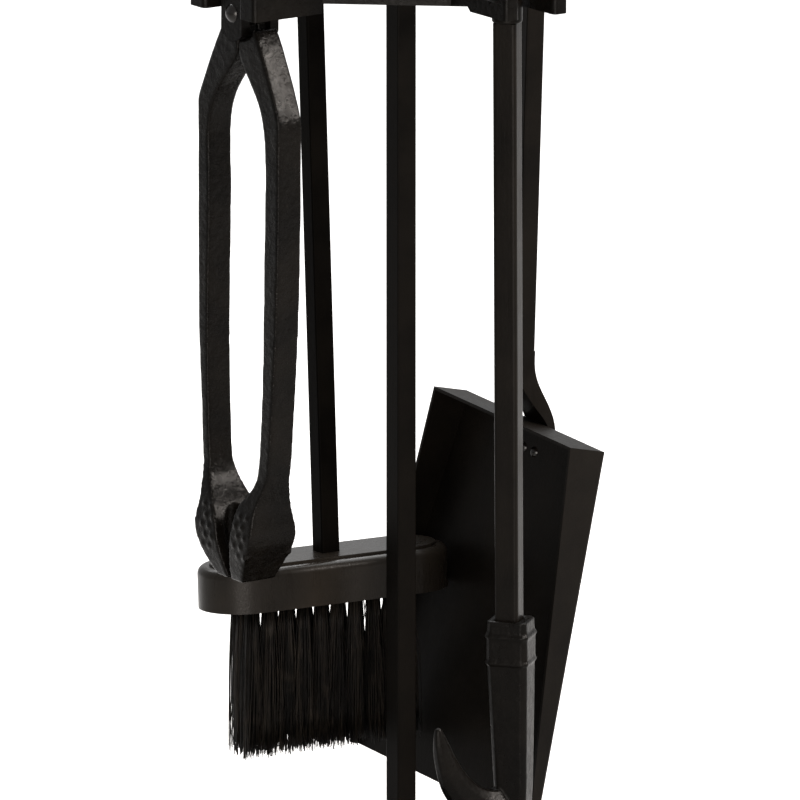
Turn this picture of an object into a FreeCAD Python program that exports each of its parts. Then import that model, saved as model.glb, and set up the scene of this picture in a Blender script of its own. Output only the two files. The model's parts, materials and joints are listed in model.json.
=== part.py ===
"""Fireplace tool set: a floor stand with a four-forked hanger, carrying tongs, a brush, a poker and a shovel.

Row frame, millimetres: +Z up, origin on the floor at the stand's centre. The shovel hangs on the +X arm,
the brush on +Y, the tongs on -X and the poker on -Y. Each tool is drawn in its own frame, whose origin
lies where the tool's axis crosses the underside of the hanger, and is then placed with its lean.
"""
import FreeCAD, Part
import Sketcher
import math
import os
from FreeCAD import Placement, Rotation, Vector

SIZES = [
    # stand
    ("base_width", 230), ("base_thick", 14), ("base_corner", 14), ("base_bevel", 5),
    ("foot_radius", 11), ("foot_height", 4), ("foot_inset", 22),
    ("step_width", 100), ("step_height", 6), ("step_bevel", 2),
    ("socket_width", 30), ("socket_height", 30), ("socket_taper", 7),
    ("counterbore_radius", 11), ("counterbore_depth", 7),
    ("bolt_radius", 3), ("bolt_head", 5), ("bolt_depth", 28), ("washer_radius", 9), ("washer_thick", 1.6),
    ("pole_side", 11), ("pole_round", 0.9), ("stud_radius", 3.5),
    # hanger
    ("hanger_z", 500), ("plate_thick", 8), ("plate_reach", 69), ("hub_radius", 23), ("hub_height", 3),
    ("window_rim", 9.5), ("rib_width", 20),
    ("fork_gap", 20.4), ("fork_width", 37.4), ("fork_reach", 115), ("slot_end", 76),
    ("relief_start", 69), ("relief_end", 83), ("relief_rise", 2.2),
    ("wide_gap", 29.5), ("wide_width", 56.5), ("wide_reach", 107), ("pad_drop", 4.9), ("pad_start", 66.5),
    ("lip_height", 3), ("lip_length", 4), ("wide_lip", 3), ("prong_round", 2.4),
    # handles
    ("neck_radius", 7.5), ("neck_drop", 6.5), ("seat_height", 9), ("flange_radius", 15),
    ("flange_thick", 4), ("collar_top", 9), ("collar_rise", 5), ("collar_soft", 1.2), ("tenon_radius", 4),
    ("grip_radius", 11), ("grip_end", 8.5), ("grip_length", 92), ("carry_grip", 96),
    ("knob_radius", 13.5), ("knob_neck", 7), ("knob_seat", 2.5), ("tenon_into_knob", 12),
    # rods
    ("rod_side", 10.3), ("rod_round", 1.1), ("poker_side", 12), ("poker_round", 2),
    ("poker_turn", -52),
    # brush
    ("brush_block_z", -303.2), ("block_length", 133.6), ("block_shift", -2.2), ("block_width", 44),
    ("block_thick", 22.8), ("block_round", 4.2), ("block_step", 1.4), ("block_inset", 6),
    ("block_turn", -5.5),
    ("bristle_length", 95), ("bristle_shift", -3.5), ("bristle_width", 28), ("bristle_drop", 77.6),
    ("bristle_gap", 0.05),
    # poker
    ("head_top", -306), ("head_tip", -452), ("socket_depth", 20),
    # shovel
    ("pan_top_width", 116), ("pan_end_width", 154.2), ("pan_length", 190.7), ("pan_wall", 23.2),
    ("pan_lip", 6), ("pan_sheet", 1.6), ("pan_fold", 2.4), ("pan_z", -238.2), ("pan_out", 11.2),
    ("pan_tilt", 13.7), ("pan_roll", 2.0), ("pan_yaw", 3.7),
    ("palm_width", 20), ("palm_thick", 4.5), ("palm_length", 40), ("palm_drop", 4), ("neck_z", -200),
    ("rivet_radius", 2), ("rivet_spread", 4.6), ("rivet_drop", 11),
    # tongs
    ("pin_z", -5.5), ("pin_radius", 3), ("pin_head", 5.6), ("arm_depth", 14.4), ("claw_depth", 29),
    ("knuckle_radius", 13.5), ("lug_depth", 6), ("lug_gap", 0.15), ("lug_eye", 8.2),
    ("cheek_gap", 6.2), ("cheek_depth", 11), ("cheek_width", 17.6), ("cheek_round", 13.3),
    ("cheek_slot", 8.6),
    ("shoulder_width", 38), ("shoulder_thick", 5.4), ("shoulder_round", 3),
    ("scoop_radius", 20), ("scoop_z", -265), ("stud_size", 1.7),
]

doc = FreeCAD.newDocument("fireplace_tool_set")
sheet = doc.addObject("Spreadsheet::Sheet", "Sizes")
for row, (alias, value) in enumerate(SIZES, start=1):
    sheet.set("A%d" % row, alias)
    sheet.set("B%d" % row, str(value))
    sheet.setAlias("B%d" % row, alias)
doc.recompute()

NODES = []          # the finished sub-parts, in the order they are made
UP = Vector(0, 0, 1)
ORIGIN = Vector(0, 0, 0)


def size(alias):
    """The value of one cell of the sheet."""
    return float(sheet.get(alias))


def ref(expression):
    """An expression on the sheet: every alias in it gets the sheet's name in front."""
    words = expression.replace("(", "( ").replace(")", " )").split()
    return " ".join("Sizes." + word if word[0].isalpha() else word for word in words)


def bind(item, **expressions):
    """Bind properties of an object to expressions on the sheet."""
    for name, expression in expressions.items():
        item.setExpression(name, ref(expression))
    return item


def move(item, x="0", y="0", z="0"):
    """Bind an object's position to expressions on the sheet."""
    for axis, expression in zip("xyz", (x, y, z)):
        item.setExpression("Placement.Base." + axis, ref(expression))
    return item


def box(name, length, width, height, x="0", y="0", z="0"):
    """A box centred on (x, y) with its underside at z."""
    item = bind(doc.addObject("Part::Box", name), Length=length, Width=width, Height=height)
    return move(item, "%s - ( %s ) / 2" % (x, length), "%s - ( %s ) / 2" % (y, width), z)


def cylinder(name, radius, height, x="0", y="0", z="0"):
    """An upright cylinder."""
    item = bind(doc.addObject("Part::Cylinder", name), Radius=radius, Height=height)
    return move(item, x, y, z)


def fuse(name, *shapes):
    """One solid from several that touch or overlap."""
    item = doc.addObject("Part::MultiFuse", name)
    item.Shapes = list(shapes)
    item.Refine = True
    return item


def cut(name, base, tool):
    """Base minus tool."""
    item = doc.addObject("Part::Cut", name)
    item.Base = base
    item.Tool = tool
    return item


def feature(name, shape):
    """A piece whose shape comes from Part's own functions."""
    item = doc.addObject("Part::Feature", name)
    item.Shape = shape
    return item


def edges_where(item, test):
    """Numbers of the edges whose middle point and direction pass a test."""
    doc.recompute()
    found = []
    for number, edge in enumerate(item.Shape.Edges, start=1):
        first, last = edge.Vertexes[0].Point, edge.Vertexes[-1].Point
        if test((first + last) / 2, last - first):
            found.append(number)
    return found


def rounded(name, item, radius, test, kind="Part::Fillet"):
    """Fillet or chamfer the edges of an object that pass a test."""
    numbers = edges_where(item, test)
    result = doc.addObject(kind, name)
    result.Base = item
    result.Edges = [(number, radius, radius) for number in numbers]
    return result


def upright(middle, along):
    """True for a vertical edge."""
    return along.Length > 0.1 and abs(along.normalize().z) > 0.99


def finish(item, node, placement=None):
    """Name a finished piece as a node of the part, and put it in place."""
    item.Label = node
    if placement is not None:
        item.Placement = placement
    NODES.append(item)
    return item


def plane_of(body, role):
    """One of a body's own origin planes."""
    return [plane for plane in body.Origin.OriginFeatures if plane.Role == role][0]


def new_sketch(body, name, role):
    """An empty sketch on one of the body's origin planes."""
    sketch = body.newObject("Sketcher::SketchObject", name)
    sketch.AttachmentSupport = [(plane_of(body, role), "")]
    sketch.MapMode = "FlatFace"
    return sketch


def square_bar(name, side, corner, length, z_low):
    """A PartDesign body: an upright square bar with rounded corners."""
    body = doc.addObject("PartDesign::Body", name)
    sketch = new_sketch(body, name + "_section", "XY_Plane")
    half = size(side) / 2
    corners = [(-half, -half), (half, -half), (half, half), (-half, half)]
    for (x1, y1), (x2, y2) in zip(corners, corners[1:] + corners[:1]):
        sketch.addGeometry(Part.LineSegment(Vector(x1, y1, 0), Vector(x2, y2, 0)))
    for index in range(len(corners)):
        from_line = index
        to_line = (index + 1) % len(corners)
        sketch.addConstraint(Sketcher.Constraint("Coincident", from_line, 2, to_line, 1))
    for index, kind in enumerate(("Horizontal", "Vertical", "Horizontal", "Vertical")):
        sketch.addConstraint(Sketcher.Constraint(kind, index))
    width = sketch.addConstraint(Sketcher.Constraint("DistanceX", 0, 1, 0, 2, size(side)))
    height = sketch.addConstraint(Sketcher.Constraint("DistanceY", 1, 1, 1, 2, size(side)))
    sketch.addConstraint(Sketcher.Constraint("Symmetric", 0, 1, 2, 1, -1, 1))
    sketch.setExpression("Constraints[%d]" % width, ref(side))
    sketch.setExpression("Constraints[%d]" % height, ref(side))
    pad = body.newObject("PartDesign::Pad", name + "_pad")
    pad.Profile = sketch
    bind(pad, Length=length)
    doc.recompute()
    fillet = body.newObject("PartDesign::Fillet", name + "_corners")
    numbers = edges_where(pad, upright)
    fillet.Base = (pad, ["Edge%d" % number for number in numbers])
    bind(fillet, Radius=corner)
    move(body, z=z_low)
    return body


def turned(name, outline):
    """A PartDesign body: an outline of (radius, height) lines and arcs, turned about the local Z axis."""
    body = doc.addObject("PartDesign::Body", name)
    sketch = new_sketch(body, name + "_outline", "XZ_Plane")
    for step in outline:
        points = [Vector(radius, height, 0) for radius, height in step]
        if len(points) == 2:
            sketch.addGeometry(Part.LineSegment(*points))
        else:
            sketch.addGeometry(Part.Arc(*points))
    turn = body.newObject("PartDesign::Revolution", name + "_turn")
    turn.Profile = sketch
    turn.ReferenceAxis = (sketch, ["V_Axis"])
    turn.Angle = 360
    return body


def polygon(points):
    """A closed face through 3-D points."""
    return Part.Face(Part.makePolygon(points + points[:1]))


def slab(points, depth):
    """A solid from a closed outline of 3-D points, swept by the vector depth."""
    return polygon(points).extrude(depth)


# ---------------------------------------------------------------- stand: base


def make_base():
    """Square cast base with a raised step, a counterbore under it, feet, bolt and washer."""
    plate = box("base_blank", "base_width", "base_width", "base_thick", z="foot_height")
    plate = rounded("base_corners", plate, size("base_corner"), upright)
    top = size("foot_height") + size("base_thick")
    plate = rounded("base_bevels", plate, size("base_bevel"),
                    lambda middle, along: abs(middle.z - top) < 0.01, "Part::Chamfer")
    step = box("step_blank", "step_width", "step_width", "step_height", z="foot_height + base_thick")
    step = rounded("step_corners", step, size("base_bevel"), upright)
    step_top = top + size("step_height")
    step = rounded("step_bevels", step, size("step_bevel"),
                   lambda middle, along: abs(middle.z - step_top) < 0.01, "Part::Chamfer")
    hole = cylinder("base_hole", "bolt_radius + 0.3", "base_thick + step_height + 2", z="foot_height - 1")
    bore = cylinder("base_counterbore", "counterbore_radius", "counterbore_depth", z="foot_height")
    finish(cut("base_plate", fuse("base_body", plate, step), fuse("base_voids", hole, bore)), "base_plate")

    feet = []
    for number, (side_x, side_y) in enumerate(((1, 1), (-1, 1), (-1, -1), (1, -1)), start=1):
        offset = "( base_width / 2 - foot_inset )"
        feet.append(cylinder("foot_%d" % number, "foot_radius", "foot_height",
                             "%d * %s" % (side_x, offset), "%d * %s" % (side_y, offset)))
    group = doc.addObject("Part::Compound", "base_feet")
    group.Links = feet
    finish(group, "base_feet")

    under = "foot_height + counterbore_depth"
    head = doc.addObject("Part::Prism", "bolt_hexagon")
    head.Polygon = 6
    bind(head, Circumradius="washer_radius - 2", Height="bolt_head")
    move(head, z=under + " - washer_thick - bolt_head")
    shank = cylinder("bolt_shank", "bolt_radius", "base_thick - counterbore_depth + step_height"
                     " + washer_thick + bolt_depth", z=under + " - washer_thick")
    finish(fuse("base_bolt", head, shank), "base_bolt")
    disc = cylinder("washer_disc", "washer_radius", "washer_thick", z=under + " - washer_thick")
    eye = cylinder("washer_eye", "bolt_radius + 0.2", "washer_thick", z=under + " - washer_thick")
    finish(cut("base_washer", disc, eye), "base_washer")


FLOOR_OF_POLE = "foot_height + base_thick + step_height"


def make_pole():
    """Square pole with a stud at its top, and the tapered socket round its foot."""
    bar = square_bar("pole_bar", "pole_side", "pole_round",
                     "hanger_z - foot_height - base_thick - step_height", FLOOR_OF_POLE)
    stud = cylinder("pole_stud", "stud_radius", "plate_thick + hub_height + flange_thick + collar_rise"
                    " + carry_grip + tenon_into_knob", z="hanger_z")
    bore = cylinder("pole_bore", "bolt_radius", "bolt_depth + 2", z=FLOOR_OF_POLE)
    finish(cut("pole", fuse("pole_body", bar, stud), bore), "pole")

    blank = square_bar("socket_bar", "socket_width", "step_bevel", "socket_height", FLOOR_OF_POLE)
    pad = [item for item in blank.Group if item.TypeId == "PartDesign::Pad"][0]
    pad.TaperAngle = -size("socket_taper")
    doc.recompute()
    fillet = blank.Tip
    leaning = edges_where(pad, lambda middle, along: abs(along.z) > 1)
    fillet.Base = (pad, ["Edge%d" % number for number in leaning])
    hole = box("socket_hole", "pole_side", "pole_side", "socket_height", z=FLOOR_OF_POLE)
    finish(cut("pole_socket", blank, hole), "pole_socket")


# ---------------------------------------------------------------- stand: hanger


def arm_direction(quarter):
    """Unit vector of a hanger arm: 0 is +X, 1 is +Y, 2 is -X, 3 is -Y."""
    angle = math.radians(90 * quarter)
    return Vector(math.cos(angle), math.sin(angle), 0)


TONGS_ARM = 2


def hanger_plan():
    """Flat outline of the plate: straight edges between the roots of neighbouring forks."""
    points = []
    for quarter in range(4):
        out = arm_direction(quarter)
        side = arm_direction(quarter + 1)
        wide = quarter == TONGS_ARM
        half = size("wide_width" if wide else "fork_width") / 2
        reach = size("pad_start") if wide else size("plate_reach")
        points.append(out * reach - side * half)
        points.append(out * reach + side * half)
    return points


def window(quarter):
    """One lightening window: between two ribs, the hub and the outer rim."""
    rib = size("rib_width") / 2
    rim = size("plate_reach") - size("window_rim")
    span = size("plate_reach") + size("fork_width") / 2 - size("window_rim") * math.sqrt(2)
    first, second = arm_direction(quarter), arm_direction(quarter + 1)
    points = [first * rib + second * rib, first * rim + second * rib,
              first * rim + second * (span - rim), first * (span - rim) + second * rim,
              first * rib + second * rim]
    height = UP * (size("plate_thick") + 2)
    prism = slab([point - UP for point in points], height)
    corners = [edge for edge in prism.Edges if abs(edge.tangentAt(edge.FirstParameter).z) > 0.99]
    prism = prism.makeFillet(size("step_bevel"), corners)
    hub = Part.makeCylinder(size("hub_radius"), height.z + 2, Vector(0, 0, -2))
    return prism.cut(hub)


def fork(quarter):
    """Two prongs with raised lips, an open slot between them, and deeper pads on the tongs' arm."""
    out, side = arm_direction(quarter), arm_direction(quarter + 1)
    wide = quarter == TONGS_ARM
    gap, width = (size("wide_gap"), size("wide_width")) if wide else (size("fork_gap"), size("fork_width"))
    reach = size("wide_reach") if wide else size("fork_reach")
    lip = size("wide_lip") if wide else size("lip_length")
    root = size("plate_reach") - size("window_rim")
    thick = size("plate_thick")
    low = -size("pad_drop") if wide else 0
    turn = Rotation(Vector(1, 0, 0), out)

    def block(x_low, x_high, half, z_low, z_high):
        return Part.makeBox(x_high - x_low, 2 * half, z_high - z_low, Vector(x_low, -half, z_low))

    if wide:
        body = block(root, reach, width / 2, 0, thick)
        body = body.fuse(block(size("pad_start"), reach, width / 2, low, thick)).removeSplitter()
    else:
        start, end, rise = size("relief_start"), size("relief_end"), size("relief_rise")
        outline = [(root, 0), (start, 0), (end, rise), (end + rise, 0), (reach, 0), (reach, thick),
                   (root, thick)]
        body = slab([Vector(x, -width / 2, z) for x, z in outline], Vector(0, width, 0))
    body = body.fuse(block(reach - lip, reach, width / 2, thick, thick + size("lip_height"))).removeSplitter()
    inner = size("slot_end") if not wide else size("slot_end") + (gap - size("fork_gap")) / 2
    slot = block(inner, reach + 5, gap / 2, low - 1, thick + size("lip_height") + 1)
    slot = slot.fuse(Part.makeCylinder(gap / 2, slot.BoundBox.ZLength, Vector(inner, 0, low - 1)))
    body = body.cut(slot)
    tips = [edge for edge in body.Edges
            if abs(edge.tangentAt(edge.FirstParameter).z) > 0.99 and edge.CenterOfMass.x > reach - 0.01]
    body = body.makeFillet(size("prong_round"), tips)
    placed = body.copy()
    placed.Placement = Placement(ORIGIN, turn)
    return placed


def make_hanger():
    """Hanger casting: lightened plate, hub and four open forks, one of them wide and deep."""
    thick = size("plate_thick")
    plate = slab(hanger_plan(), UP * thick)
    for quarter in range(4):
        plate = plate.cut(window(quarter))
    plate = plate.fuse(Part.makeCylinder(size("hub_radius") - 4, size("hub_height"), Vector(0, 0, thick)))
    for quarter in range(4):
        out, side = arm_direction(quarter), arm_direction(quarter + 1)
        wide = quarter == TONGS_ARM
        gap = size("wide_gap") if wide else size("fork_gap")
        inner = size("slot_end") + ((gap - size("fork_gap")) / 2 if wide else 0)
        plate = plate.fuse(fork(quarter))
        mouth = Part.makeCylinder(gap / 2, 3 * thick, out * inner - UP * thick)
        plate = plate.cut(mouth)
    plate = plate.removeSplitter()
    plate = plate.cut(Part.makeCylinder(size("stud_radius"), 4 * thick, Vector(0, 0, -thick)))
    hanger = feature("hanger_plate", plate)
    finish(hanger, "hanger_plate", Placement(Vector(0, 0, size("hanger_z")), Rotation()))
    hanger.setExpression("Placement.Base.z", ref("hanger_z"))


# ---------------------------------------------------------------- handles


def make_handle(tool, start, bore, grip, placement, neck=True):
    """Collar, grip and knob, one above the other on the tool's tenon; start is the collar's seat."""
    neck_low = -size("neck_drop") if neck else start
    flange, thick = size("flange_radius"), size("flange_thick")
    low = start if not neck else size("seat_height")
    top = low + thick
    rise = top + size("collar_rise")
    neck_radius = size("neck_radius") if neck else flange - 2
    waist = size("collar_top")
    soft = size("collar_soft")
    bulge = soft * (1 - math.sqrt(0.5))
    if not neck:
        low = low + soft + 0.2
    outline = [((bore, neck_low), (neck_radius - soft, neck_low)),
               ((neck_radius - soft, neck_low), (neck_radius - bulge, neck_low + bulge),
                (neck_radius, neck_low + soft)),
               ((neck_radius, neck_low + soft), (neck_radius, low)),
               ((neck_radius, low), (flange - soft, low))]
    middle = (low + top) / 2
    outline += [((flange - soft, low), (flange, middle), (flange - soft, top)),
                ((flange - soft, top), (waist, rise)),
                ((waist, rise), (bore, rise)),
                ((bore, rise), (bore, neck_low))]
    collar = turned(tool + "_collar_body", outline)
    finish(collar, tool + "_collar", placement)

    end = rise + grip
    wide, narrow = size("grip_radius"), size("grip_end")
    outline = [((bore, rise), (narrow, rise)),
               ((narrow, rise), (wide, rise + grip * 0.55), (narrow, end)),
               ((narrow, end), (bore, end)),
               ((bore, end), (bore, rise))]
    finish(turned(tool + "_grip_body", outline), tool + "_grip", placement)

    tip = end + size("tenon_into_knob")
    radius, seat, shoulder = size("knob_radius"), size("knob_neck"), end + size("knob_seat")
    middle = shoulder + math.sqrt(radius ** 2 - seat ** 2)
    outline = [((bore, end), (seat, end)),
               ((seat, end), (seat, shoulder)),
               ((seat, shoulder), (radius, middle), (0.0, middle + radius)),
               ((0.0, middle + radius), (0.0, tip)),
               ((0.0, tip), (bore, tip)),
               ((bore, tip), (bore, end))]
    finish(turned(tool + "_knob_body", outline), tool + "_knob", placement)
    return tip


def tool_placement(x, y, about_x=0.0, about_y=0.0, yaw=0.0):
    """Where a tool hangs, with its small lean and turn, in degrees."""
    lean = Rotation(Vector(1, 0, 0), about_x) * Rotation(Vector(0, 1, 0), about_y)
    return Placement(Vector(x, y, size("hanger_z")), lean * Rotation(UP, yaw))


TONGS_AT = tool_placement(-90, 0, about_x=0.95)
BRUSH_AT = tool_placement(0, 79.8, about_x=-2.75, yaw=-4)
POKER_AT = tool_placement(0, -90, about_y=-0.35)
# the poker's bar and head are turned about their own axis against its hook
POKER_TURNED = POKER_AT.multiply(Placement(Vector(0, 0, 0), Rotation(UP, size("poker_turn"))))
SHOVEL_AT = tool_placement(79.4, 0, about_x=2.6, yaw=-3)
TENON_TOP = "seat_height + flange_thick + collar_rise + grip_length + tenon_into_knob"


def rod_with_tenon(name, side, corner, low):
    """A square rod up to the collar, with a round tenon through the handle."""
    bar = square_bar(name + "_bar", side, corner, "0 - neck_drop - ( %s )" % low, low)
    tenon = cylinder(name + "_tenon", "tenon_radius", TENON_TOP + " + neck_drop", z="0 - neck_drop")
    return fuse(name + "_body", bar, tenon)


# ---------------------------------------------------------------- brush


def stadium(length, width, height, z_low, shift):
    """A round-ended block, long in X, its middle shifted along X."""
    radius = width / 2
    half = length / 2 - radius
    ends = [Part.makeCylinder(radius, height, Vector(shift + side * half, 0, z_low)) for side in (-1, 1)]
    middle = Part.makeBox(2 * half, width, height, Vector(shift - half, -radius, z_low))
    return middle.multiFuse(ends).removeSplitter()


def make_brush():
    """Rod, round-ended block with a stepped top, and the bristles as one plain solid."""
    rod = rod_with_tenon("brush_rod", "rod_side", "rod_round", "brush_block_z - block_thick / 2")
    finish(rod, "brush_rod", BRUSH_AT)
    top, thick = size("brush_block_z"), size("block_thick")
    step, inset = size("block_step"), size("block_inset")
    turn = Rotation(UP, size("block_turn"))
    length, width, shift = size("block_length"), size("block_width"), size("block_shift")
    body = stadium(length, width, thick - step, top - thick, shift)
    rim = [edge for edge in body.Edges if abs(edge.BoundBox.ZMin - (top - step)) < 0.01]
    body = body.makeFillet(size("block_round"), [edge for edge in rim if edge.BoundBox.ZLength < 0.01])
    crown = stadium(length - 2 * inset, width - 2 * inset, step + 1, top - step - 1, shift)
    body = body.fuse(crown).removeSplitter()
    side = size("rod_side")
    socket = Part.makeBox(side, side, thick / 2, Vector(-side / 2, -side / 2, top - thick / 2))
    socket.Placement = Placement(ORIGIN, turn.inverted())
    block_at = BRUSH_AT * Placement(ORIGIN, turn)
    finish(feature("brush_block", body.cut(socket)), "brush_block", block_at)
    under = top - thick - size("bristle_gap")
    bristles = stadium(size("bristle_length"), size("bristle_width"), size("bristle_drop"),
                       under - size("bristle_drop"), size("bristle_shift"))
    finish(feature("brush_bristles", bristles), "brush_bristles", block_at)
    make_handle("brush", 0, size("tenon_radius"), size("grip_length"), BRUSH_AT)


# ---------------------------------------------------------------- poker


def eight_sided(left, right, half, corner, z):
    """A rectangle with cut corners at one height, as a closed wire."""
    low, high = -half + corner, half - corner
    points = [(left + corner, -half), (right - corner, -half), (right, low), (right, high),
              (right - corner, half), (left + corner, half), (left, high), (left, low)]
    corners = [Vector(x, y, z) for x, y in points]
    return Part.makePolygon(corners + corners[:1])


def make_poker():
    """Rod, and a cast head with a collar band, a straight point and a side hook."""
    rod = rod_with_tenon("poker_rod", "poker_side", "poker_round", "head_top - socket_depth")
    finish(rod, "poker_rod", POKER_TURNED)
    top, tip = size("head_top"), size("head_tip")
    # (depth below the head's top, left, right, half width, cut corner)
    rings = [(0, -9.2, 10.9, 9.2, 2.2), (6, -9.5, 11.1, 9.5, 2.4), (22, -9.5, 11.1, 9.5, 2.4),
             (50, -8.2, 10.8, 9.0, 2.4), (84, -6.5, 10.3, 8.2, 2.2), (104, -5.5, 9.3, 7.0, 2.0),
             (126, -2.4, 7.4, 4.8, 1.6), (top - tip, 1.2, 4.2, 1.4, 0.6)]
    wires = [eight_sided(*sides, top - depth) for depth, *sides in rings]
    head = Part.makeLoft(wires, True, True)
    # (depth, swell) of the band: a rim at its top and its foot, with a panel between them
    profile = [(5.9, 0.1), (7.7, 0.9), (8.3, 0.9), (8.8, 0.3),
               (19.4, 0.3), (21.2, 0.9), (21.7, 0.9), (22.1, 0.1)]
    wires = [eight_sided(-9.5 - swell, 11.1 + swell, 9.5 + swell, 2.4, top - depth)
             for depth, swell in profile]
    band = Part.makeLoft(wires, True, True)
    # (inner x, inner depth, outer x, outer depth, half thickness) along the hook, from its point to its root
    stations = [(-42.0, 49.0, -44.4, 49.6, 1.5), (-38.6, 55.0, -45.2, 57.5, 2.8),
                (-34.0, 64.5, -43.2, 71.0, 3.9), (-28.0, 73.8, -38.4, 84.0, 4.9),
                (-20.4, 81.4, -29.0, 95.0, 5.7), (-11.4, 85.2, -16.0, 104.0, 6.2),
                (0.0, 84.0, -1.0, 110.0, 6.4)]
    wires = []
    for x_in, deep_in, x_out, deep_out, half in stations:
        inner, outer = Vector(x_in, 0, top - deep_in), Vector(x_out, 0, top - deep_out)
        along = outer - inner
        corner = 0.28
        plan = [(0, -1 + corner * 1.6), (corner, -1), (1 - corner, -1), (1, -1 + corner * 1.6),
                (1, 1 - corner * 1.6), (1 - corner, 1), (corner, 1), (0, 1 - corner * 1.6)]
        corners = [inner + along * share + Vector(0, half * across, 0) for share, across in plan]
        wires.append(Part.makePolygon(corners + corners[:1]))
    hook = Part.makeLoft(wires, True, False)
    side, deep = size("poker_side"), size("socket_depth")
    socket = Part.makeBox(side, side, deep + 1, Vector(-side / 2, -side / 2, top - deep))
    for piece in (head, band, socket):
        piece.rotate(Vector(0, 0, 0), UP, size("poker_turn"))
    solid = head.fuse([band, hook]).removeSplitter().cut(socket)
    finish(feature("poker_head", solid), "poker_head", POKER_AT)
    make_handle("poker", 0, size("tenon_radius"), size("grip_length"), POKER_AT)


# ---------------------------------------------------------------- shovel


def tray(width_top, width_end, wall_top, wall_end, start, length):
    """A tapering solid: floor face at x = 0, walls towards -x, from the top edge down along -z."""
    wires = []
    for depth in (start, length):
        share = depth / size("pan_length")
        half = (width_top + (width_end - width_top) * share) / 2
        wall = wall_top + (wall_end - wall_top) * share
        corners = [Vector(0, -half, -depth), Vector(0, half, -depth),
                   Vector(-wall, half, -depth), Vector(-wall, -half, -depth)]
        wires.append(Part.makePolygon(corners + corners[:1]))
    return Part.makeLoft(wires, True, True)


PAN_TOP = Vector(size("pan_out"), 0, size("pan_z"))
PAN_PLACE = Placement(PAN_TOP, Rotation(Vector(1, 0, 0), size("pan_roll")) * Rotation(UP, size("pan_yaw"))
                      * Rotation(Vector(0, 1, 0), size("pan_tilt")))


def rectangle(place, half_x, half_y, shift=0.0):
    """A closed rectangle in the XY plane of a placement, its middle shifted along X."""
    corners = [Vector(shift - half_x, -half_y, 0), Vector(shift + half_x, -half_y, 0),
               Vector(shift + half_x, half_y, 0), Vector(shift - half_x, half_y, 0)]
    points = [place.multVec(corner) for corner in corners]
    return Part.makePolygon(points + points[:1])


def make_shovel():
    """Rod with a forged neck and flat palm, a folded pan, and two rivets through the palm."""
    sheet_thick = size("pan_sheet")
    outer = tray(size("pan_top_width"), size("pan_end_width"), size("pan_wall"), size("pan_lip"),
                 0, size("pan_length"))
    folds = [edge for edge in outer.Edges if abs(edge.CenterOfMass.x) < 0.01
             and abs(edge.CenterOfMass.z + size("pan_length")) > 1]
    outer = outer.makeFillet(size("pan_fold"), folds)
    inner = tray(size("pan_top_width") - 2 * sheet_thick, size("pan_end_width") - 2 * sheet_thick,
                 size("pan_wall") + 10, size("pan_lip") + 10, sheet_thick, size("pan_length") + 5)
    inner.translate(Vector(-sheet_thick, 0, 0))
    pan = outer.cut(inner)

    thick, half = size("palm_thick"), size("palm_width") / 2
    palm_high = -size("palm_drop")
    palm_low = palm_high - size("palm_length")
    palm = Part.makeBox(thick, 2 * half, size("palm_length"), Vector(0, -half, palm_low))
    palm = palm.makeFillet(half * 0.8, [edge for edge in palm.Edges
                                        if abs(edge.CenterOfMass.z - palm_low) < 0.01
                                        and edge.BoundBox.XLength > thick / 2])
    palm.Placement = PAN_PLACE
    # (outward offset, height, tilt, half thickness, half width) of the neck's sections, from the rod down
    side = size("rod_side") / 2
    sections = [(0.0, size("neck_z"), 0.0, side, side), (0.0, -207.0, -4.0, 5.0, 5.4),
                (0.8, -214.0, -16.0, 4.7, 6.6), (3.8, -221.5, -28.0, 4.0, 8.4),
                (8.5, -229.5, -26.0, 3.2, 9.7)]
    wires = [rectangle(Placement(Vector(x, 0, z), Rotation(Vector(0, 1, 0), tilt)), half_x, half_y)
             for x, z, tilt, half_x, half_y in sections]
    for depth in (palm_high + 0.5, palm_high - 1.0):
        level = PAN_PLACE * Placement(Vector(0, 0, depth), Rotation())
        wires.append(rectangle(level, thick / 2, half, thick / 2))
    neck = Part.makeLoft(wires, True, False)
    holes, rivets = [], []
    radius = size("rivet_radius")
    depth = palm_high - size("rivet_drop")
    for y in (-size("rivet_spread"), size("rivet_spread")):
        shank = Part.makeCylinder(radius, size("palm_thick") + sheet_thick,
                                  Vector(-sheet_thick, y, depth), Vector(1, 0, 0))
        holes.append(shank)
        heads = []
        for at, direction in ((-sheet_thick, -1), (size("palm_thick"), 1)):
            ball = Part.makeSphere(radius * 1.7, Vector(at - direction * radius * 0.9, y, depth))
            cube = radius * 4
            low = at if direction > 0 else at - cube
            keep = Part.makeBox(cube, cube, cube, Vector(low, y - cube / 2, depth - cube / 2))
            heads.append(ball.common(keep))
        rivets.append(shank.multiFuse(heads).removeSplitter())
    pan = pan.cut(Part.makeCompound(holes))
    finish(feature("shovel_pan", pan), "shovel_pan", SHOVEL_AT * PAN_PLACE)

    placed_pan = outer.copy()
    placed_pan.Placement = PAN_PLACE
    lower = feature("shovel_palm", neck.fuse(palm).removeSplitter().cut(placed_pan))
    rod = rod_with_tenon("shovel_rod", "rod_side", "rod_round", "neck_z")
    holes_here = feature("shovel_holes", Part.makeCompound(holes))
    holes_here.Placement = PAN_PLACE
    finish(cut("shovel_rod", fuse("shovel_forging", rod, lower), holes_here), "shovel_rod", SHOVEL_AT)
    finish(feature("shovel_rivets", Part.makeCompound(rivets)), "shovel_rivets", SHOVEL_AT * PAN_PLACE)
    make_handle("shovel", 0, size("tenon_radius"), size("grip_length"), SHOVEL_AT)


# ---------------------------------------------------------------- tongs

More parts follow.
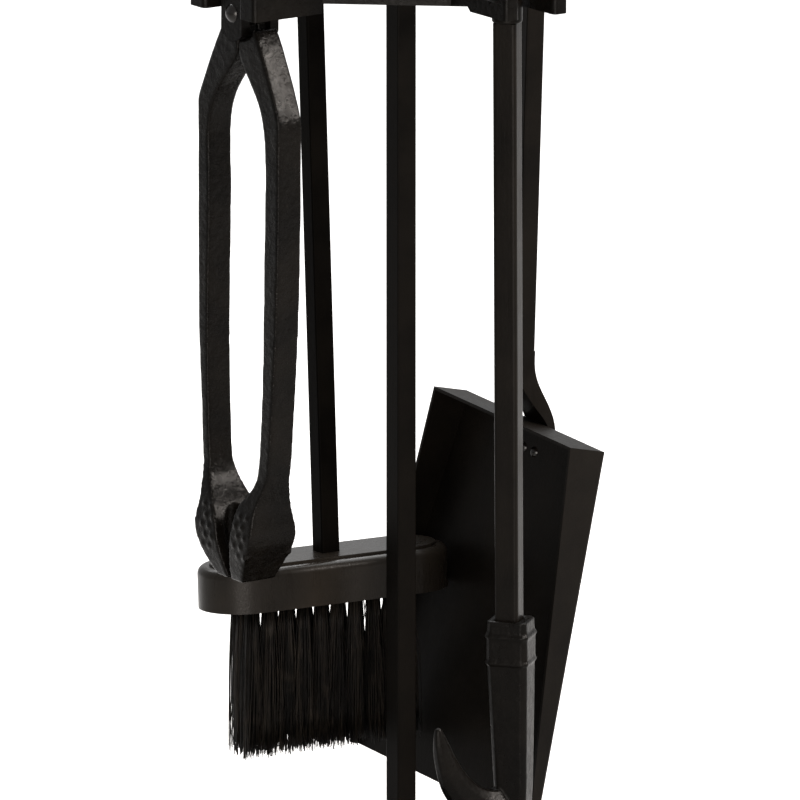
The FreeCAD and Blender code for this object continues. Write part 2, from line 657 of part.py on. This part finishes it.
# Outline of each arm across the hinge axis: (distance from the middle plane, height). The outer side runs
# from the shoulder down to the claw's tip, the inner side back up to the knuckle.
NEAR_OUTER = [(13.4, -12.5), (18.5, -20), (24.9, -32), (29.0, -40), (32.8, -48), (35.1, -55), (35.5, -64),
              (35.5, -90), (35.1, -130), (33.0, -180), (30.3, -215), (28.6, -232), (25.4, -244), (23.4, -250),
              (23.2, -257), (23.6, -264), (20.6, -273), (14.6, -284), (11.0, -291)]
FAR_OUTER = [(13.2, -12.5), (17.8, -20), (24.2, -32), (28.0, -40), (31.9, -48), (34.4, -54), (34.6, -64),
             (34.2, -90), (33.8, -130), (32.2, -180), (29.6, -215), (27.4, -240), (25.0, -250), (24.4, -257),
             (25.3, -265), (23.8, -272), (20.4, -279), (13.4, -288), (11.0, -291)]
NEAR_INNER = [(1.2, -291), (2.4, -284), (5.0, -272), (6.6, -260), (9.0, -251), (15.6, -243), (19.2, -234),
              (20.6, -224), (22.0, -205), (23.2, -160), (23.6, -110), (23.8, -80), (22.5, -64), (19.2, -52),
              (14.2, -44), (0.4, -27)]
FAR_INNER = [(1.2, -291), (2.4, -284), (5.4, -272), (8.0, -262), (12.6, -254), (19.0, -245), (22.2, -233),
             (23.4, -218), (24.5, -196), (25.2, -150), (24.6, -105), (25.2, -80), (24.4, -62), (20.8, -52),
             (14.6, -43), (0.4, -25)]
ARM_TOP = -12.5
# Outline of one arm seen along the middle plane: (height, half depth), from the claw's shoulder to its tip.
CLAW_DEPTHS = [(-236, 7.2), (-248, 10.2), (-261, 13.6), (-272, 14.2), (-281, 12.8), (-287, 11.2), (-292, 9.4)]
STUD_ROWS = (-256, -261, -266, -271, -276)
STUD_START = 9.8
STUD_PITCH = 5.6


def curve(points):
    """A smooth edge through points."""
    spline = Part.BSplineCurve()
    spline.interpolate(points)
    return spline.toShape()


def claw_half_depth(z):
    """Half depth of the claw at a height, between the outline's points."""
    for (high, first), (low, second) in zip(CLAW_DEPTHS, CLAW_DEPTHS[1:]):
        if low <= z <= high:
            return first + (second - first) * (high - z) / (high - low)
    return CLAW_DEPTHS[0][1]


def arm_blank(side):
    """One arm before its lug: side view and front view swept across each other and intersected."""
    depth = size("claw_depth") / 2
    outer = [Vector(-depth, side * y, z) for y, z in (FAR_OUTER if side > 0 else NEAR_OUTER)]
    inner = [Vector(-depth, side * y, z) for y, z in (FAR_INNER if side > 0 else NEAR_INNER)]
    edges = [curve(outer), Part.makeLine(outer[-1], inner[0]), curve(inner),
             Part.makeLine(inner[-1], Vector(-depth, side * 0.4, ARM_TOP)),
             Part.makeLine(Vector(-depth, side * 0.4, ARM_TOP), outer[0])]
    profile = Part.Face(Part.Wire(Part.sortEdges(edges)[0])).extrude(Vector(2 * depth, 0, 0))
    half = size("arm_depth") / 2
    right = [Vector(x, -60, z) for z, x in CLAW_DEPTHS]
    left = [Vector(-x, -60, z) for z, x in reversed(CLAW_DEPTHS)]
    edges = [Part.makeLine(Vector(-half, -60, -10), Vector(half, -60, -10)),
             Part.makeLine(Vector(half, -60, -10), right[0]), curve(right),
             Part.makeLine(right[-1], left[0]), curve(left), Part.makeLine(left[-1], Vector(-half, -60, -10))]
    front = Part.Face(Part.Wire(Part.sortEdges(edges)[0])).extrude(Vector(0, 120, 0))
    return profile.common(front)


def x_cylinder(radius, x_low, x_high, z, y=0.0):
    """A cylinder along X."""
    return Part.makeCylinder(radius, x_high - x_low, Vector(x_low, y, z), Vector(1, 0, 0))


def make_arm(node, side, layer):
    """One arm: side is +1 for the far arm, layer is -1 where its lug lies in front of the other's."""
    pin_z, lug = size("pin_z"), size("lug_depth")
    knuckle = size("knuckle_radius")
    blank = arm_blank(side)
    blank = blank.cut(x_cylinder(knuckle + 0.5, -20, 20, pin_z))
    low, high = (-lug, -size("lug_gap")) if layer < 0 else (size("lug_gap"), lug)
    disc = x_cylinder(knuckle, low, high, pin_z)
    lower = disc.common(Part.makeBox(high - low, 2 * knuckle, 20, Vector(low, -knuckle, -35)))
    eye = x_cylinder(size("lug_eye"), low, high, pin_z)
    bridge = slab([Vector(low, side * 4.0, pin_z - 9), Vector(low, side * 13.0, -18.5),
                   Vector(low, side * 15.5, -24), Vector(low, side * 4.0, -26)], Vector(high - low, 0, 0))
    neck = Part.makeBox(high - low, 14, 8, Vector(low, -7, -20)).common(disc)
    bridge = bridge.common(x_cylinder(knuckle + 6, low, high, pin_z))
    half = [Vector(low, 0.4 * side, -15), Vector(low, 30 * side, -15), Vector(low, 30 * side, -60),
            Vector(low, 0.4 * side, -60)]
    own = slab(half, Vector(high - low, 0, 0))
    lug_shape = lower.multiFuse([eye, neck, bridge.common(own)]).removeSplitter()
    arm = blank.fuse(lug_shape).removeSplitter().cut(x_cylinder(size("pin_radius") + 0.05, -20, 20, pin_z))
    scoop = Part.makeSphere(size("scoop_radius"))
    squeeze = FreeCAD.Matrix()
    squeeze.scale(0.46, 0.62, 1.0)
    scoop = scoop.transformGeometry(squeeze)
    scoop.translate(Vector(0, 0, size("scoop_z")))
    arm = arm.cut(scoop)
    studs = []
    radius = size("stud_size")
    for row, z in enumerate(STUD_ROWS):
        depth = claw_half_depth(z)
        for front in (-1, 1):
            for step in (0, 1):
                y = STUD_START + STUD_PITCH * (step + (0 if row % 2 else 0.5))
                studs.append(Part.makeSphere(radius, Vector(front * (depth - 0.5), side * y, z)))
    arm = arm.multiFuse(studs).removeSplitter()
    return finish(feature(node, arm), node, TONGS_AT)


def make_tongs():
    """Shank with a forked end and a shoulder, two arms on one rivet, and the handle."""
    pin_z = size("pin_z")
    gap, cheek, width = size("cheek_gap"), size("cheek_depth"), size("cheek_width")
    seat = size("seat_height")
    make_arm("tongs_arm_far", 1, -1)
    make_arm("tongs_arm_near", -1, 1)
    end = size("cheek_round")
    block = Part.makeBox(2 * cheek, width, seat - pin_z, Vector(-cheek, -width / 2, pin_z))
    lower = Part.makeBox(2 * cheek, width, 2 * end, Vector(-cheek, -width / 2, pin_z - 1.5 * end))
    block = block.fuse(lower.common(x_cylinder(end, -cheek, cheek, pin_z)))
    slot_top = pin_z + size("cheek_slot")
    slot = Part.makeBox(2 * gap, 2 * width, 40, Vector(-gap, -width, slot_top - 40))
    block = block.cut(slot)
    shoulder = Part.makeBox(2 * cheek, size("shoulder_width"), size("shoulder_thick"),
                            Vector(-cheek, -size("shoulder_width") / 2, seat))
    uprights = [edge for edge in shoulder.Edges if abs(edge.tangentAt(edge.FirstParameter).z) > 0.99]
    shoulder = shoulder.makeFillet(size("shoulder_round"), uprights)
    top = seat + size("shoulder_thick")
    tenon = Part.makeCylinder(size("tenon_radius"), size("flange_thick") + size("collar_rise")
                              + size("grip_length") + size("tenon_into_knob"), Vector(0, 0, top))
    shank = block.multiFuse([shoulder, tenon]).removeSplitter()
    shank = shank.cut(x_cylinder(size("pin_radius"), -20, 20, pin_z))
    finish(feature("tongs_shank", shank), "tongs_shank", TONGS_AT)
    pin = x_cylinder(size("pin_radius"), -cheek, cheek, pin_z)
    heads = []
    for side in (-1, 1):
        ball = Part.makeSphere(size("pin_head"), Vector(side * (cheek - 3.2), 0, pin_z))
        low = cheek if side > 0 else -cheek - 10
        heads.append(ball.common(Part.makeBox(10, 20, 20, Vector(low, -10, pin_z - 10))))
    finish(feature("tongs_rivet", pin.multiFuse(heads).removeSplitter()), "tongs_rivet", TONGS_AT)
    make_handle("tongs", top, size("tenon_radius"), size("grip_length"), TONGS_AT, neck=False)


make_base()
make_pole()
make_hanger()
make_handle("carry", size("plate_thick") + size("hub_height"), size("stud_radius"), size("carry_grip"),
            Placement(Vector(0, 0, size("hanger_z")), Rotation()), neck=False)
make_tongs()
make_brush()
make_poker()
make_shovel()

doc.recompute()
for item in doc.Objects:
    if "Invalid" in item.State or "Error" in item.State:
        raise RuntimeError("%s is in state %s" % (item.Label, item.State))
os.makedirs("parts", exist_ok=True)
for item in NODES:
    shape = item.Shape
    if shape.isNull() or not shape.isValid():
        raise RuntimeError("%s has no valid shape" % item.Label)
    shape.exportStep(os.path.join("parts", item.Label + ".step"))
    bounds = shape.BoundBox
    print("%-16s solids %d volume %9.0f  x %6.1f %6.1f  y %6.1f %6.1f  z %6.1f %6.1f" % (
        item.Label, len(shape.Solids), shape.Volume, bounds.XMin, bounds.XMax, bounds.YMin, bounds.YMax,
        bounds.ZMin, bounds.ZMax))
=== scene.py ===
"""Looks of the fireplace tool set: black cast, drawn and folded iron, bristles, and a plain studio."""
import json
import math
import random

import bmesh
import bpy
from mathutils import Matrix, Vector, noise


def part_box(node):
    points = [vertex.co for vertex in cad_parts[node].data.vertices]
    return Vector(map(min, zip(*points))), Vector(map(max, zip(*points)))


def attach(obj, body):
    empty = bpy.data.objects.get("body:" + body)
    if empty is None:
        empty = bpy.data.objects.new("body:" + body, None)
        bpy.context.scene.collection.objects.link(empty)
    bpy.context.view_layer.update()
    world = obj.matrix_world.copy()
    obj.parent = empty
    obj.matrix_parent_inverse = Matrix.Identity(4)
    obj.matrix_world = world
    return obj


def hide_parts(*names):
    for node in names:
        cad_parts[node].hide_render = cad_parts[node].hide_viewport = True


HANGER_DEPTH = 0.011                # from the hanger's highest point down to its underside

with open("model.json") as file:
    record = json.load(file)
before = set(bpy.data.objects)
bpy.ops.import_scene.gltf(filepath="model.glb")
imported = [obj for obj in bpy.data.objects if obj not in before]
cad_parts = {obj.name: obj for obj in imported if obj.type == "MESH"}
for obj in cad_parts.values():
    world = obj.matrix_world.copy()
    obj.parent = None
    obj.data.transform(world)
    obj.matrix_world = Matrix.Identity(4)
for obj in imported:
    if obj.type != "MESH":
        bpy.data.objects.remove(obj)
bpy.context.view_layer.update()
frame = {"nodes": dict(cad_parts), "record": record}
HANGER_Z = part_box("hanger_plate")[1].z - HANGER_DEPTH

# ---------------------------------------------------------------- camera

AZIMUTH = math.radians(-35.0)
ELEVATION = math.radians(13.3)
DISTANCE = 7.0
LOOK_BELOW = 0.2129                 # the middle of the picture is this far below the hanger
LENS = 636.3
SENSOR = 36.0
LENS_SHIFT = -0.0013
CLIP_NEAR = 0.1
CLIP_FAR = 100.0


def make_camera():
    """A long lens from far away, a little above the object."""
    data = bpy.data.cameras.new("camera")
    data.lens = LENS
    data.sensor_width = SENSOR
    data.clip_start = CLIP_NEAR
    data.clip_end = CLIP_FAR
    data.shift_x = LENS_SHIFT
    camera = bpy.data.objects.new("camera", data)
    back = Vector((math.sin(AZIMUTH) * math.cos(ELEVATION),
                   -math.cos(AZIMUTH) * math.cos(ELEVATION), math.sin(ELEVATION)))
    camera.location = Vector((0.0, 0.0, HANGER_Z - LOOK_BELOW)) + back * DISTANCE
    camera.rotation_mode = "QUATERNION"
    camera.rotation_quaternion = (-back).to_track_quat("-Z", "Y")
    bpy.context.scene.collection.objects.link(camera)
    bpy.context.scene.camera = camera


make_camera()

# ---------------------------------------------------------------- materials


class Nodes:
    """Short ways to add and join the shader nodes of one material."""

    def __init__(self, material):
        self.tree = material.node_tree
        self.tree.nodes.clear()

    def put(self, socket, value):
        """Link another node's output to a socket, or set the socket to a constant."""
        if isinstance(value, bpy.types.NodeSocket):
            self.tree.links.new(value, socket)
        else:
            socket.default_value = value

    def add(self, kind, **inputs):
        """A node with its inputs given by name, with _ for a space."""
        node = self.tree.nodes.new(kind)
        for name, value in inputs.items():
            self.put(node.inputs[name.replace("_", " ")], value)
        return node

    def position(self):
        """The point in the object's own coordinates."""
        return self.add("ShaderNodeTexCoord").outputs["Object"]

    def stretch(self, x, y, z):
        """The position scaled by axis."""
        return self.add("ShaderNodeMapping", Vector=self.position(), Scale=(x, y, z)).outputs["Vector"]

    def noise(self, scale, detail=4.0, rough=0.5, at=None, distortion=0.0):
        node = self.add("ShaderNodeTexNoise", Vector=at or self.position(), Scale=scale, Detail=detail,
                        Roughness=rough, Distortion=distortion)
        return node.outputs["Fac"]

    def ramp(self, value, low, high, out_low, out_high):
        """Linear map with clamping."""
        node = self.add("ShaderNodeMapRange", Value=value, From_Min=low, From_Max=high,
                        To_Min=out_low, To_Max=out_high)
        return node.outputs["Result"]

    def mix(self, share, first, second):
        """Mix two colours."""
        node = self.tree.nodes.new("ShaderNodeMix")
        node.data_type = "RGBA"
        factor, colour_a, colour_b = node.inputs[0], node.inputs[6], node.inputs[7]
        self.put(factor, share)
        self.put(colour_a, first)
        self.put(colour_b, second)
        return node.outputs[2]

    def math(self, operation, first, second):
        node = self.tree.nodes.new("ShaderNodeMath")
        node.operation = operation
        self.put(node.inputs[0], first)
        self.put(node.inputs[1], second)
        return node.outputs[0]

    def bump(self, height, strength, distance):
        node = self.add("ShaderNodeBump", Height=height, Strength=strength, Distance=distance)
        return node.outputs["Normal"]

    def surface(self, colour, rough, normal=None, metallic=0.0, specular=0.5):
        """The finished surface, joined to the material's output."""
        shader = self.add("ShaderNodeBsdfPrincipled", Base_Color=colour, Roughness=rough, Metallic=metallic)
        shader.inputs["Specular IOR Level"].default_value = specular
        if normal is not None:
            self.put(shader.inputs["Normal"], normal)
        self.add("ShaderNodeOutputMaterial", Surface=shader.outputs["BSDF"])


def new_material(name):
    material = bpy.data.materials.new(name)
    material.use_nodes = True
    return material, Nodes(material)


def grey(value, warmth=0.0):
    """A near-neutral colour."""
    return (value * (1 + warmth), value, value * (1 - warmth), 1.0)


def cast_material(name, dark, light, grain, depth, rough, specular):
    """Black paint over a sand-cast skin: fine grit, soft lumps, worn paler high spots."""
    material, n = new_material(name)
    grit = n.noise(1600.0 * grain, 5.0, 0.6)
    lumps = n.noise(260.0 * grain, 4.0, 0.55)
    broad = n.noise(38.0, 3.0, 0.5)
    pits = n.add("ShaderNodeTexVoronoi", Vector=n.position(), Scale=420.0 * grain).outputs["Distance"]
    height = n.math("ADD", lumps, n.math("MULTIPLY", grit, 0.35))
    height = n.math("ADD", height, n.math("MULTIPLY", pits, 0.25))
    normal = n.bump(height, 1.0, depth)
    colour = n.mix(n.ramp(broad, 0.35, 0.7, 0.0, 1.0), grey(dark, 0.22), grey(light, 0.25))
    colour = n.mix(n.ramp(lumps, 0.62, 0.8, 0.0, 0.6), colour, grey(light * 1.8, 0.2))
    uneven = n.math("ADD", lumps, n.math("MULTIPLY", grit, 0.5))
    roughness = n.ramp(uneven, 0.5, 1.1, rough - 0.1, rough + 0.12)
    n.surface(colour, roughness, normal, specular=specular)
    return material


def painted_material(name, dark, light, rough, depth, streak=1.0, specular=0.04):
    """Satin black paint with orange peel, faint streaks along the bar and small scuffs."""
    material, n = new_material(name)
    peel = n.noise(900.0, 3.0, 0.5)
    streaks = n.noise(1.0, 4.0, 0.6, at=n.stretch(700.0 * streak, 700.0 * streak, 30.0))
    clouds = n.noise(24.0, 4.0, 0.6)
    scuffs = n.noise(150.0, 6.0, 0.75, distortion=1.2)
    colour = n.mix(n.ramp(clouds, 0.35, 0.7, 0.0, 1.0), grey(dark, 0.22), grey(light, 0.25))
    colour = n.mix(n.ramp(scuffs, 0.66, 0.8, 0.0, 0.5), colour, grey(light * 2.2, 0.2))
    uneven = n.math("ADD", n.math("MULTIPLY", streaks, 0.6), n.math("MULTIPLY", clouds, 0.6))
    roughness = n.ramp(uneven, 0.35, 0.85, rough - 0.07, rough + 0.1)
    height = n.math("ADD", n.math("MULTIPLY", peel, 0.7), n.math("MULTIPLY", streaks, 0.5))
    n.surface(colour, roughness, n.bump(height, 1.0, depth), specular=specular)
    return material


def metal_material(name, value, rough):
    """Plated steel with fine turning marks."""
    material, n = new_material(name)
    marks = n.noise(1.0, 4.0, 0.6, at=n.stretch(400.0, 400.0, 2600.0))
    clouds = n.noise(60.0, 4.0, 0.6)
    colour = n.mix(clouds, grey(value * 0.8), grey(value * 1.1))
    roughness = n.ramp(marks, 0.3, 0.7, rough - 0.08, rough + 0.12)
    n.surface(colour, roughness, n.bump(marks, 0.4, 0.00004), metallic=1.0)
    return material


def rubber_material(name):
    """Matt moulded rubber."""
    material, n = new_material(name)
    speckle = n.noise(1800.0, 3.0, 0.6)
    clouds = n.noise(80.0, 3.0, 0.5)
    colour = n.mix(clouds, grey(0.018), grey(0.034))
    n.surface(colour, n.ramp(speckle, 0.3, 0.7, 0.7, 0.9), n.bump(speckle, 0.6, 0.00005), specular=0.3)
    return material


def bristle_material(name, dark, light):
    """Stiff fibre: colour changes from strand to strand and along each strand."""
    material, n = new_material(name)
    strand = n.noise(1.0, 2.0, 0.5, at=n.stretch(1500.0, 1500.0, 25.0))
    along = n.noise(90.0, 3.0, 0.6)
    tuft = n.noise(1.0, 2.0, 0.5, at=n.stretch(210.0, 210.0, 9.0))
    share = n.math("MULTIPLY", n.ramp(strand, 0.35, 0.7, 0.0, 1.0), n.ramp(tuft, 0.4, 0.6, 0.05, 1.0))
    colour = n.mix(share, grey(dark, 0.12), grey(light, 0.22))
    colour = n.mix(n.ramp(along, 0.55, 0.8, 0.0, 0.4), colour, grey(light * 1.6, 0.25))
    n.surface(colour, n.ramp(strand, 0.3, 0.7, 0.34, 0.5), n.bump(along, 0.3, 0.00004), specular=0.05)
    return material


# dark and light are the paint's two tones, depth is the relief in metres, rough the mean roughness
CAST = cast_material("cast_black", dark=0.0006, light=0.0014, grain=1.0, depth=0.00022, rough=0.34,
                     specular=0.045)
CAST_ROUGH = cast_material("cast_rough", dark=0.0006, light=0.0016, grain=0.9, depth=0.00038, rough=0.27,
                           specular=0.055)
CAST_BASE = cast_material("cast_base", dark=0.0010, light=0.0020, grain=1.0, depth=0.00012, rough=0.6,
                          specular=0.04)
BAR = painted_material("bar_black", dark=0.0007, light=0.0016, rough=0.36, depth=0.00007, specular=0.02)
# painted shade: a darker copy of the bar paint for the brush rod
BAR_PAINTED_SHADE = painted_material("bar_painted_shade", dark=0.0004, light=0.0010, rough=0.40, depth=0.00007, specular=0.008)
# painted light: a lighter copy of the bar paint for the shovel rod
BAR_PAINTED_LIGHT = painted_material("bar_painted_light", dark=0.0010, light=0.0022, rough=0.34, depth=0.00008, specular=0.032)
# painted light: a still lighter copy of the bar paint for the poker rod
BAR_PAINTED_BRIGHT = painted_material("bar_painted_bright", dark=0.0014, light=0.0028, rough=0.31, depth=0.00012, specular=0.045)
TURNED = painted_material("turned_black", dark=0.0010, light=0.0020, rough=0.34, depth=0.00005)
SHEET = painted_material("sheet_black", dark=0.0012, light=0.0024, rough=0.44, depth=0.0001, streak=0.5)
RIVET = painted_material("rivet_black", dark=0.0012, light=0.0024, rough=0.2, depth=0.00005, specular=0.22)
BLOCK = painted_material("block_black", dark=0.0030, light=0.0055, rough=0.27, depth=0.0001, streak=0.4,
                         specular=0.1)
BRISTLE = bristle_material("bristle", dark=0.0008, light=0.0115)
STEEL = metal_material("steel", value=0.45, rough=0.35)
RUBBER = rubber_material("rubber")

BY_SLOT = {"cast_black": CAST, "bar_black": BAR, "turned_black": TURNED, "sheet_black": SHEET,
           "block_black": BLOCK, "bristle": BRISTLE, "steel": STEEL, "rubber": RUBBER}
# nodes whose finish differs from the others of their slot; the brush, poker and shovel rods get darker or
# lighter copies of the bar paint as painted shade and painted light
BY_NODE = {"tongs_rivet": RIVET, "shovel_rivets": RIVET, "base_plate": CAST_BASE, "brush_rod": BAR_PAINTED_SHADE,
           "poker_rod": BAR_PAINTED_BRIGHT, "shovel_rod": BAR_PAINTED_LIGHT}


def paint_cad():
    """Give every CAD node its finish."""
    for part in frame["record"]["subparts"]:
        materials = frame["nodes"][part["node"]].data.materials
        materials.clear()
        materials.append(BY_NODE.get(part["node"], BY_SLOT[part["material_slot"]]))


paint_cad()

# ---------------------------------------------------------------- shared mesh helpers


def add_mesh(name, build, material):
    """A new mesh object from a bmesh filled by build."""
    mesh = bpy.data.meshes.new(name)
    work = bmesh.new()
    build(work)
    work.to_mesh(mesh)
    work.free()
    mesh.materials.append(material)
    item = bpy.data.objects.new(name, mesh)
    bpy.context.scene.collection.objects.link(item)
    return item


def settle(item, node, body):
    """Hide the CAD node a piece stands in for and hang the piece on the body it rides on."""
    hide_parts(node)
    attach(item, body)


def shade_smooth(item):
    for face in item.data.polygons:
        face.use_smooth = True


# ---------------------------------------------------------------- cast pieces

SKIN_SCALE = 90.0                   # noise cells per metre of the broad unevenness
SKIN_INWARD = 0.6                   # keeps most of the skin at or under the CAD surface


def apply_modifiers(item):
    """Bake the object's modifiers into its mesh."""
    graph = bpy.context.evaluated_depsgraph_get()
    mesh = bpy.data.meshes.new_from_object(item.evaluated_get(graph))
    item.modifiers.clear()
    item.data = mesh


def cast_copy(node, body, voxel, amount, material, rounds):
    """A node's shape with softened edges and an uneven cast skin, amount deep."""
    item = bpy.data.objects.new(node + "_cast", frame["nodes"][node].data.copy())
    bpy.context.scene.collection.objects.link(item)
    remesh = item.modifiers.new("skin", "REMESH")
    remesh.mode = "VOXEL"
    remesh.voxel_size = voxel
    remesh.adaptivity = 0.0
    soften = item.modifiers.new("soften", "SMOOTH")
    soften.factor = 0.5
    soften.iterations = rounds
    apply_modifiers(item)
    mesh = item.data
    mesh.update()
    for vertex, normal in zip(mesh.vertices, [v.normal.copy() for v in mesh.vertices]):
        point = vertex.co
        broad = noise.noise(point * SKIN_SCALE) + 0.5 * noise.noise(point * SKIN_SCALE * 2.3)
        small = noise.noise(point * SKIN_SCALE * 7.0)
        vertex.co = point + normal * amount * (broad + 0.3 * small - SKIN_INWARD)
    shade_smooth(item)
    mesh.materials.clear()
    mesh.materials.append(material)
    settle(item, node, body)


for arm in ("tongs_arm_far", "tongs_arm_near"):
    cast_copy(arm, arm, 0.0008, 0.00010, CAST_ROUGH, rounds=9)
cast_copy("poker_head", "poker", 0.0006, 0.00005, CAST, rounds=5)

# ---------------------------------------------------------------- brush

BRUSH_OUT = 0.0798                  # from the pole's axis to the brush's
BRUSH_LEAN = math.radians(-2.75)
BRUSH_TURN = math.radians(-9.5)
BRUSH_AT = Matrix.Translation((0, BRUSH_OUT, HANGER_Z)) @ Matrix.Rotation(BRUSH_LEAN, 4, "X") \
    @ Matrix.Rotation(BRUSH_TURN, 4, "Z")
BLOCK_UNDER = -0.326                # the block's underside, along the brush from the hanger
ROOT_DEPTH = 0.0006                 # how far the fibres go up into the block
FIELD_LENGTH = 0.094
FIELD_WIDTH = 0.027
FIELD_SHIFT = -0.0035               # the field's middle, along the block
FIELD_EDGE = 0.0045                 # from the field's edge to the middle of its first tuft
TUFT_PITCH = 0.0103
COLUMNS = round((FIELD_LENGTH - 0.004) / TUFT_PITCH)
ROWS = 3
HOLE_RADIUS = 0.0028
STRANDS_PER_TUFT = 95
STRAND_RADIUS = 0.00034
STRAND_STEPS = 5
STRAND_TURNS = (0.3, 2.39, 4.49)    # the three corners of a fibre's section, in radians
BRISTLE_LENGTH = 0.0774
RAGGED = 0.006                      # how much shorter the shortest fibres are
TUFT_SPREAD = 0.0031                # how far a tuft's outer fibres fan out
TUFT_LEAN = 0.0025                  # sideways lean of whole tufts, at random
END_SPLAY = 0.0045                  # extra lean of the tufts near the left end
END_PAST = 0.002                    # how far fibres may splay past the field's left end


def strand(work, root, tip, bend, radius):
    """One tapering fibre of three sides, bent sideways, closed at both ends."""
    rings = []
    for step in range(STRAND_STEPS + 1):
        share = step / STRAND_STEPS
        centre = root.lerp(tip, share) + bend * math.sin(share * math.pi) * 0.5
        thin = radius * (1.0 - 0.45 * share)
        corners = [centre + Vector((math.cos(turn), math.sin(turn), 0)) * thin for turn in STRAND_TURNS]
        rings.append([work.verts.new(BRUSH_AT @ corner) for corner in corners])
    for low, high in zip(rings, rings[1:]):
        for side in range(3):
            other = (side + 1) % 3
            work.faces.new((low[side], low[other], high[other], high[side]))
    work.faces.new(rings[-1])
    work.faces.new(tuple(reversed(rings[0])))


def tuft(work, rng, x, y, lean):
    """The fibres of one hole, fanning out and ending raggedly."""
    left = FIELD_SHIFT - FIELD_LENGTH / 2 - END_PAST
    right = FIELD_SHIFT + FIELD_LENGTH / 2
    for _ in range(STRANDS_PER_TUFT):
        turn = rng.uniform(0, 2 * math.pi)
        reach = math.sqrt(rng.random())
        across = Vector((math.cos(turn), math.sin(turn), 0)) * reach
        root = Vector((x, y, BLOCK_UNDER + ROOT_DEPTH)) + across * HOLE_RADIUS
        length = BRISTLE_LENGTH * rng.uniform(0.93, 1.0) - RAGGED * rng.random() ** 4
        tip = root + Vector((lean + TUFT_SPREAD * across.x + rng.gauss(0, 0.0011),
                             TUFT_SPREAD * across.y * 0.7 + rng.gauss(0, 0.0008), -length))
        tip.x = max(left, min(right, tip.x))
        tip.y = max(-FIELD_WIDTH / 2, min(FIELD_WIDTH / 2, tip.y))
        bend = Vector((rng.gauss(0, 0.0014), rng.gauss(0, 0.0012), 0))
        strand(work, root, tip, bend, STRAND_RADIUS * rng.uniform(0.8, 1.15))


def build_bristles(work):
    """Rows of tufts, the middle row set half a pitch along."""
    rng = random.Random(7)
    for row in range(ROWS):
        y = (row / (ROWS - 1) - 0.5) * (FIELD_WIDTH - 2 * FIELD_EDGE)
        between = row % 2
        for column in range(COLUMNS + 1 + between):
            x = FIELD_SHIFT + (column / COLUMNS - 0.5) * (FIELD_LENGTH - 2 * FIELD_EDGE)
            if between:
                x = max(FIELD_SHIFT - FIELD_LENGTH / 2 + 0.0035, x - TUFT_PITCH / 2)
            x += rng.uniform(-0.0004, 0.0004)
            splay = END_SPLAY * max(0.0, 0.3 - column / COLUMNS)
            tuft(work, rng, x, y, rng.uniform(-TUFT_LEAN, TUFT_LEAN) - 0.001 - splay)


bristles = add_mesh("bristle_tufts", build_bristles, BRISTLE)
shade_smooth(bristles)
settle(bristles, "brush_bristles", "brush")

# ---------------------------------------------------------------- studio

FLOOR_COLOUR = 0.42
FLOOR_HALF = 9.0
WORLD_STRENGTH = 0.8
WHITE = (1.0, 1.0, 1.0)
WARM = (1.0, 0.92, 0.85)
LAMP_CENTRE = Vector((0, 0, 0.32))  # half the set's height, where most lamps point
TOWARDS_CAMERA = Vector((math.sin(AZIMUTH), -math.cos(AZIMUTH), 0.0))


def build_floor(work):
    """One square sheet."""
    corners = [(-1, -1), (1, -1), (1, 1), (-1, 1)]
    work.faces.new([work.verts.new((x * FLOOR_HALF, y * FLOOR_HALF, 0.0)) for x, y in corners])


def floor_material():
    """Pale matt paper."""
    material, n = new_material("studio_floor")
    clouds = n.noise(0.6, 2.0, 0.5)
    n.surface(n.mix(clouds, grey(FLOOR_COLOUR), grey(FLOOR_COLOUR * 0.98)), 0.8, specular=0.2)
    return material


def area_light(name, place, target, size, power, colour=WARM):
    """A square lamp at a place, turned to its target."""
    data = bpy.data.lights.new(name, "AREA")
    data.shape = "SQUARE"
    data.size = size
    data.energy = power
    data.color = colour
    item = bpy.data.objects.new(name, data)
    item.location = place
    item.rotation_mode = "QUATERNION"
    item.rotation_quaternion = (target - place).to_track_quat("-Z", "Y")
    bpy.context.scene.collection.objects.link(item)


def make_world():
    """Even white surroundings."""
    world = bpy.data.worlds.new("studio")
    world.use_nodes = True
    background = world.node_tree.nodes["Background"]
    background.inputs["Color"].default_value = (*WHITE, 1)
    background.inputs["Strength"].default_value = WORLD_STRENGTH
    bpy.context.scene.world = world


def make_lamps():
    """A broad lamp by the camera, a key from the upper right, one above, and one over the floor behind."""
    front = LAMP_CENTRE + (TOWARDS_CAMERA - Vector((0, 0, 0.02))) * 2.6
    key = LAMP_CENTRE + Vector((0.56, -0.67, 0.47)) * 2.4
    top = LAMP_CENTRE + Vector((0.0, -0.25, 1.0)) * 2.2
    floor_behind = TOWARDS_CAMERA * -1.5
    area_light("front", front, LAMP_CENTRE, 1.7, 135.0)
    area_light("key", key, LAMP_CENTRE, 0.5, 150.0)
    area_light("top", top, LAMP_CENTRE, 0.9, 40.0)
    area_light("floor_behind", floor_behind + Vector((0, 0, 1.9)), floor_behind, 2.6, 140.0, WHITE)


add_mesh("studio_floor", build_floor, floor_material())
make_world()
make_lamps()
bpy.context.scene.view_settings.view_transform = "Standard"
